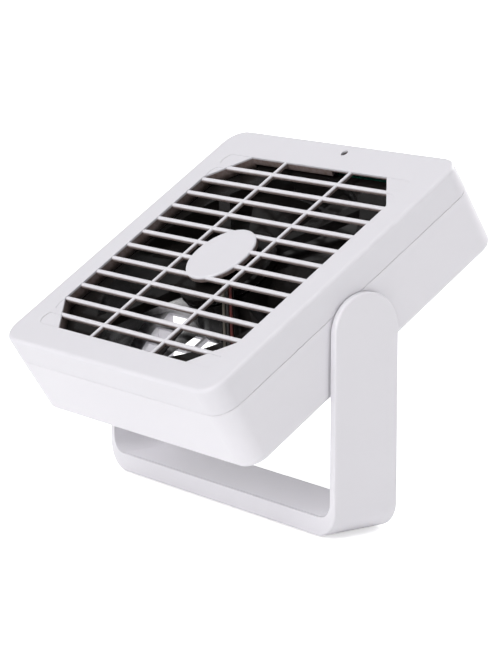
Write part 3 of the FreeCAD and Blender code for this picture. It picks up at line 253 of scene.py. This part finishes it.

# The front cover's copy of the white moulding, a little darker, with shade painted into its colour deep
# in the grille's collar and the light's hole.
LOOKS["shaded_cover"] = material("Satin white cover with painted shade", (0.675, 0.664, 0.7), (0.66, 0.648, 0.682),
                                0.36, 0.46, 0.06, 3200.0, edge=0.00025, IOR=1.46)
add_painted_collar_shade(LOOKS["shaded_cover"], (0.11, 0.06, 0.042), (0.018, 0.011, 0.008))

for entry in frame["record"]["subparts"]:
    NODES[entry["node"]].data.materials.clear()
    NODES[entry["node"]].data.materials.append(LOOKS[entry["material_slot"]])
NODES["front_cover"].data.materials[0] = LOOKS["shaded_cover"]
print("materials:", len(LOOKS))

# %% [markdown]
# ## Repeated pieces
# Three Geometry Nodes trees make what repeats: screws with a cross recess, the turns of wire on
# the stator's poles, and the ribs under the non-slip pad. Each result is kept as a plain mesh
# that rides on its body in place of its CAD node.

# %%


def geometry_tree(name, sizes):
    tree = bpy.data.node_groups.new(name, "GeometryNodeTree")
    socket(tree, "Geometry", "NodeSocketGeometry")
    for label, default in sizes.items():
        kind = "NodeSocketInt" if isinstance(default, int) else "NodeSocketFloat"
        socket(tree, label, kind, default)
    socket(tree, "Material", "NodeSocketMaterial")
    socket(tree, "Geometry", "NodeSocketGeometry", output=True)
    return tree, tree.nodes.new("NodeGroupInput").outputs


def end_tree(tree, given, geometry):
    whole = node(tree, "GeometryNodeRealizeInstances", {"Geometry": geometry})
    painted = node(tree, "GeometryNodeSetMaterial", {"Geometry": whole.outputs[0],
                                                     "Material": given["Material"]})
    node(tree, "NodeGroupOutput", {"Geometry": painted.outputs[0]})
    return tree


def moved(tree, geometry, place, turn=(0.0, 0.0, 0.0)):
    return node(tree, "GeometryNodeTransform", {"Geometry": geometry, "Translation": place,
                                                "Rotation": turn}).outputs[0]


def box(tree, size, place):
    return moved(tree, node(tree, "GeometryNodeMeshCube", {"Size": size}).outputs[0], place)


DOME_SPREAD, RECESS_SPREAD = 1.12, 1.15
OVERLAP = 0.0001


def make_screw_tree():
    """A domed head with a cross recess and a plain shank, one on each point; heads face -Z."""
    tree, given = geometry_tree("Cross recess screw", {
        "Head radius": 0.0027, "Head height": 0.002, "Shank radius": 0.00125,
        "Shank length": 0.025, "Recess width": 0.0006, "Recess depth": 0.0011})
    radius, height = given["Head radius"], given["Head height"]
    drum = node(tree, "GeometryNodeMeshCylinder", {"Vertices": 48, "Radius": radius, "Depth": height})
    drum = moved(tree, drum.outputs["Mesh"], vector(tree, z=maths(tree, "MULTIPLY", height, -0.5)))
    dome = node(tree, "GeometryNodeMeshUVSphere", {"Segments": 48, "Rings": 32, "Radius": 1.0})
    wide = maths(tree, "MULTIPLY", radius, DOME_SPREAD)
    dome = node(tree, "GeometryNodeTransform", {"Geometry": dome.outputs["Mesh"],
                                                "Scale": vector(tree, wide, wide, height)})
    head = node(tree, "GeometryNodeMeshBoolean", {"Mesh 2": [drum, dome.outputs[0]]},
                operation="INTERSECT")
    reach = maths(tree, "MULTIPLY", radius, RECESS_SPREAD)
    deep = maths(tree, "MULTIPLY", given["Recess depth"], 2.0)
    bottom = vector(tree, z=maths(tree, "MULTIPLY", height, -1.0))
    bars = [box(tree, vector(tree, given["Recess width"], reach, deep), bottom),
            box(tree, vector(tree, reach, given["Recess width"], deep), bottom)]
    cross = node(tree, "GeometryNodeMeshBoolean", {"Mesh 2": bars}, operation="UNION")
    head = node(tree, "GeometryNodeMeshBoolean", {"Mesh 1": head.outputs["Mesh"],
                                                  "Mesh 2": cross.outputs["Mesh"]},
                operation="DIFFERENCE")
    shank = node(tree, "GeometryNodeMeshCylinder", {"Vertices": 32, "Radius": given["Shank radius"],
                                                    "Depth": given["Shank length"]})
    half = maths(tree, "SUBTRACT", maths(tree, "MULTIPLY", given["Shank length"], 0.5), OVERLAP)
    shank = moved(tree, shank.outputs["Mesh"], vector(tree, z=half))
    screw = node(tree, "GeometryNodeMeshBoolean", {"Mesh 2": [head.outputs["Mesh"], shank]},
                 operation="UNION")
    copies = node(tree, "GeometryNodeInstanceOnPoints", {"Points": given["Geometry"],
                                                         "Instance": screw.outputs["Mesh"]})
    return end_tree(tree, given, copies.outputs[0])


def make_coil_tree():
    """Two layers of rounded wire loops, repeated along each pole and round the poles."""
    tree, given = geometry_tree("Coil turns", {
        "Poles": 4, "Turns": 8, "Start": 0.00885, "Pitch": 0.000485, "Middle": -0.0175,
        "Across": 0.0053, "High": 0.0091, "Layer": 0.00049, "Wire radius": 0.00024})
    wire = node(tree, "GeometryNodeCurvePrimitiveCircle", {"Resolution": 10,
                                                           "Radius": given["Wire radius"]})
    loops = []
    for layer in range(2):
        grow_by = maths(tree, "MULTIPLY", given["Layer"], 2.0 * layer)
        outline = node(tree, "GeometryNodeCurvePrimitiveQuadrilateral",
                       {"Width": maths(tree, "ADD", given["High"], grow_by),
                        "Height": maths(tree, "ADD", given["Across"], grow_by)})
        bent = node(tree, "GeometryNodeFilletCurve", {"Curve": outline.outputs[0], "Count": 5,
                                                      "Radius": 0.0006 + 0.0004 * layer},
                    mode="POLY")
        tube = node(tree, "GeometryNodeCurveToMesh", {"Curve": bent.outputs[0],
                                                      "Profile Curve": wire.outputs["Curve"]})
        loops.append(tube.outputs[0])
    loop = node(tree, "GeometryNodeJoinGeometry", {"Geometry": loops})
    upright = moved(tree, loop.outputs[0], (0.0, 0.0, 0.0), (0.0, math.radians(90), 0.0))
    row = node(tree, "GeometryNodeMeshLine", {
        "Count": given["Turns"], "Start Location": vector(tree, given["Start"], 0.0, given["Middle"]),
        "Offset": vector(tree, given["Pitch"])})
    coil = node(tree, "GeometryNodeInstanceOnPoints", {"Points": row.outputs[0],
                                                       "Instance": upright})
    centres = node(tree, "GeometryNodePoints", {"Count": given["Poles"]})
    step = maths(tree, "DIVIDE", math.tau, given["Poles"])
    turn = maths(tree, "MULTIPLY", node(tree, "GeometryNodeInputIndex").outputs[0], step)
    turned = node(tree, "FunctionNodeEulerToRotation", {"Euler": vector(tree, z=turn)})
    poles = node(tree, "GeometryNodeInstanceOnPoints", {"Points": centres.outputs[0],
                                                        "Instance": coil.outputs[0],
                                                        "Rotation": turned.outputs[0]})
    return end_tree(tree, given, poles.outputs[0])


def make_pad_tree():
    """A slab with a row of ribs under it."""
    tree, given = geometry_tree("Ribbed pad", {
        "Ribs": 40, "Length": 0.12, "Width": 0.021, "Slab": 0.0007, "Rib width": 0.0018,
        "Rib height": 0.0005})
    height = given["Rib height"]
    middle = maths(tree, "ADD", height, maths(tree, "MULTIPLY", given["Slab"], 0.5))
    slab = box(tree, vector(tree, given["Length"], given["Width"], given["Slab"]),
               vector(tree, z=middle))
    tall = maths(tree, "ADD", height, OVERLAP / 2)
    rib = box(tree, vector(tree, given["Rib width"], given["Width"], tall),
              vector(tree, z=maths(tree, "MULTIPLY", tall, 0.5)))
    spread = maths(tree, "SUBTRACT", given["Length"], given["Rib width"])
    pitch = maths(tree, "DIVIDE", spread, maths(tree, "SUBTRACT", given["Ribs"], 1.0))
    first = vector(tree, x=maths(tree, "MULTIPLY", spread, -0.5))
    row = node(tree, "GeometryNodeMeshLine", {"Count": given["Ribs"], "Start Location": first,
                                              "Offset": vector(tree, x=pitch)})
    ribs = node(tree, "GeometryNodeInstanceOnPoints", {"Points": row.outputs[0], "Instance": rib})
    both = node(tree, "GeometryNodeJoinGeometry", {"Geometry": [slab, ribs.outputs[0]]})
    return end_tree(tree, given, both.outputs[0])


def grow(tree, name, slot_name, body, place=None, points=((0, 0, 0),), **sizes):
    """Run a tree on some points, in mm, and put the mesh in place of the CAD node of that name."""
    seed = bpy.data.meshes.new(name + " points")
    seed.from_pydata([Vector(point) * MM for point in points], [], [])
    carrier = bpy.data.objects.new(name + "_detail", seed)
    scene.collection.objects.link(carrier)
    modifier = carrier.modifiers.new("Tree", "NODES")
    modifier.node_group = tree
    for item in tree.interface.items_tree:
        if item.name == "Material":
            modifier[item.identifier] = LOOKS[slot_name]
        elif item.name.replace(" ", "_") in sizes:
            modifier[item.identifier] = sizes[item.name.replace(" ", "_")] * MM
    graph = bpy.context.evaluated_depsgraph_get()
    mesh = bpy.data.meshes.new_from_object(carrier.evaluated_get(graph))
    mesh.transform(place or Matrix())
    carrier.modifiers.clear()
    carrier.data = mesh
    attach(carrier, body)
    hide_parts(name)
    print(name + ":", len(mesh.polygons), "faces")


CORNER_ACROSS, CORNER_UP, CORNER_DOWN = 65.8, 66.0, 62.1
CORNER_SEAT = Vector((0, 0, -30)) * MM
BOLT = 52.5
BOLT_SEAT = Vector((0, 0, -26.5)) * MM

SCREWS = make_screw_tree()
corners = [(across, up, 0) for across in (-CORNER_ACROSS, CORNER_ACROSS)
           for up in (CORNER_UP, -CORNER_DOWN)]
grow(SCREWS, "housing_screws", "plated_steel", "head", HEAD @ Matrix.Translation(CORNER_SEAT), corners)
bolts = [(across, up, 0) for across in (-BOLT, BOLT) for up in (-BOLT, BOLT)]
grow(SCREWS, "fan_screws", "plated_steel", "head",
     HEAD @ Matrix.Translation(BOLT_SEAT) @ Matrix.Rotation(math.pi, 4, "X"), bolts,
     Head_radius=2.9, Shank_radius=1.4, Shank_length=8.5)
grow(make_coil_tree(), "stator_windings", "copper_wire", "head", HEAD)
grow(make_pad_tree(), "nonslip_pad", "soft_rubber", "stand")

# %% [markdown]
# ## Stage
# A plain pale floor that glows faintly, as a light table does, so that shadows stay soft. White
# light comes from above, from behind, from low in front and from the right.

# %%
floor_mesh = bpy.data.meshes.new("floor")
REACH = 30
floor_mesh.from_pydata([(-REACH, -REACH, 0), (REACH, -REACH, 0), (REACH, REACH, 0), (-REACH, REACH, 0)],
                       [], [(0, 1, 2, 3)])
floor = bpy.data.objects.new("floor", floor_mesh)
scene.collection.objects.link(floor)
pale = material("Pale floor", (0.9, 0.9, 0.9), (0.89, 0.89, 0.89), 0.6, 0.8, 0.02, 300.0, 2.0,
                Emission_Color=(1, 1, 1, 1))
floor_mesh.materials.append(pale)
glow = node(pale.node_tree, "ShaderNodeMapRange", {
    "Value": node(pale.node_tree, "ShaderNodeLightPath").outputs["Is Camera Ray"],
    "To Min": 0.1, "To Max": 0.5})
pale.node_tree.links.new(glow.outputs["Result"],
                         pale.node_tree.nodes["Principled BSDF"].inputs["Emission Strength"])

world = bpy.data.worlds.new("Studio")
scene.world = world
world.use_nodes = True
sky = world.node_tree
seen = node(sky, "ShaderNodeLightPath")
strength = node(sky, "ShaderNodeMapRange", {"Value": seen.outputs["Is Camera Ray"], "To Min": 0.24,
                                            "To Max": 1.0})
sky.links.new(strength.outputs["Result"], sky.nodes["Background"].inputs["Strength"])
sky.nodes["Background"].inputs["Color"].default_value = (0.99, 0.985, 1.0, 1)


def lamp(name, kind, place, aim, power, **settings):
    """A light that points at a place and isn't seen itself."""
    data = bpy.data.lights.new(name, kind)
    data.energy = power
    for key, value in settings.items():
        setattr(data, key, value)
    made = bpy.data.objects.new(name, data)
    made.location = place
    made.rotation_euler = (Vector(aim) - Vector(place)).to_track_quat("-Z", "Y").to_euler()
    made.visible_camera = False
    scene.collection.objects.link(made)


MIDDLE = (0, 0, 0.08)
lamp("Large overhead light", "SUN", (0, -0.66, 1.1), MIDDLE, 1.3, angle=math.radians(60))
lamp("Ceiling light", "SUN", (0, 0, 1.5), MIDDLE, 0.4, angle=math.radians(90))
lamp("Light from behind", "SUN", (-0.1, 0.8, 0.5), MIDDLE, 2.3, angle=math.radians(40))
lamp("Low front light", "SUN", (0.0, -1.0, 0.53), MIDDLE, 1.3, angle=math.radians(20))
lamp("Right side light", "AREA", (0.9, 0.33, 0.06), MIDDLE, 2.0, shape="RECTANGLE", size=0.5,
     size_y=0.4)

camera_data = bpy.data.cameras.new("Camera")
camera_data.lens = 137.0
camera_data.sensor_width = 36.0
camera_data.clip_start = 0.05
camera = bpy.data.objects.new("Camera", camera_data)
camera.location = (0.7793, -0.5804, 0.2468)
camera.rotation_euler = (math.radians(79.74), 0, math.radians(53.245))
scene.collection.objects.link(camera)
scene.camera = camera
scene.view_settings.view_transform = "Standard"
print("stage set")
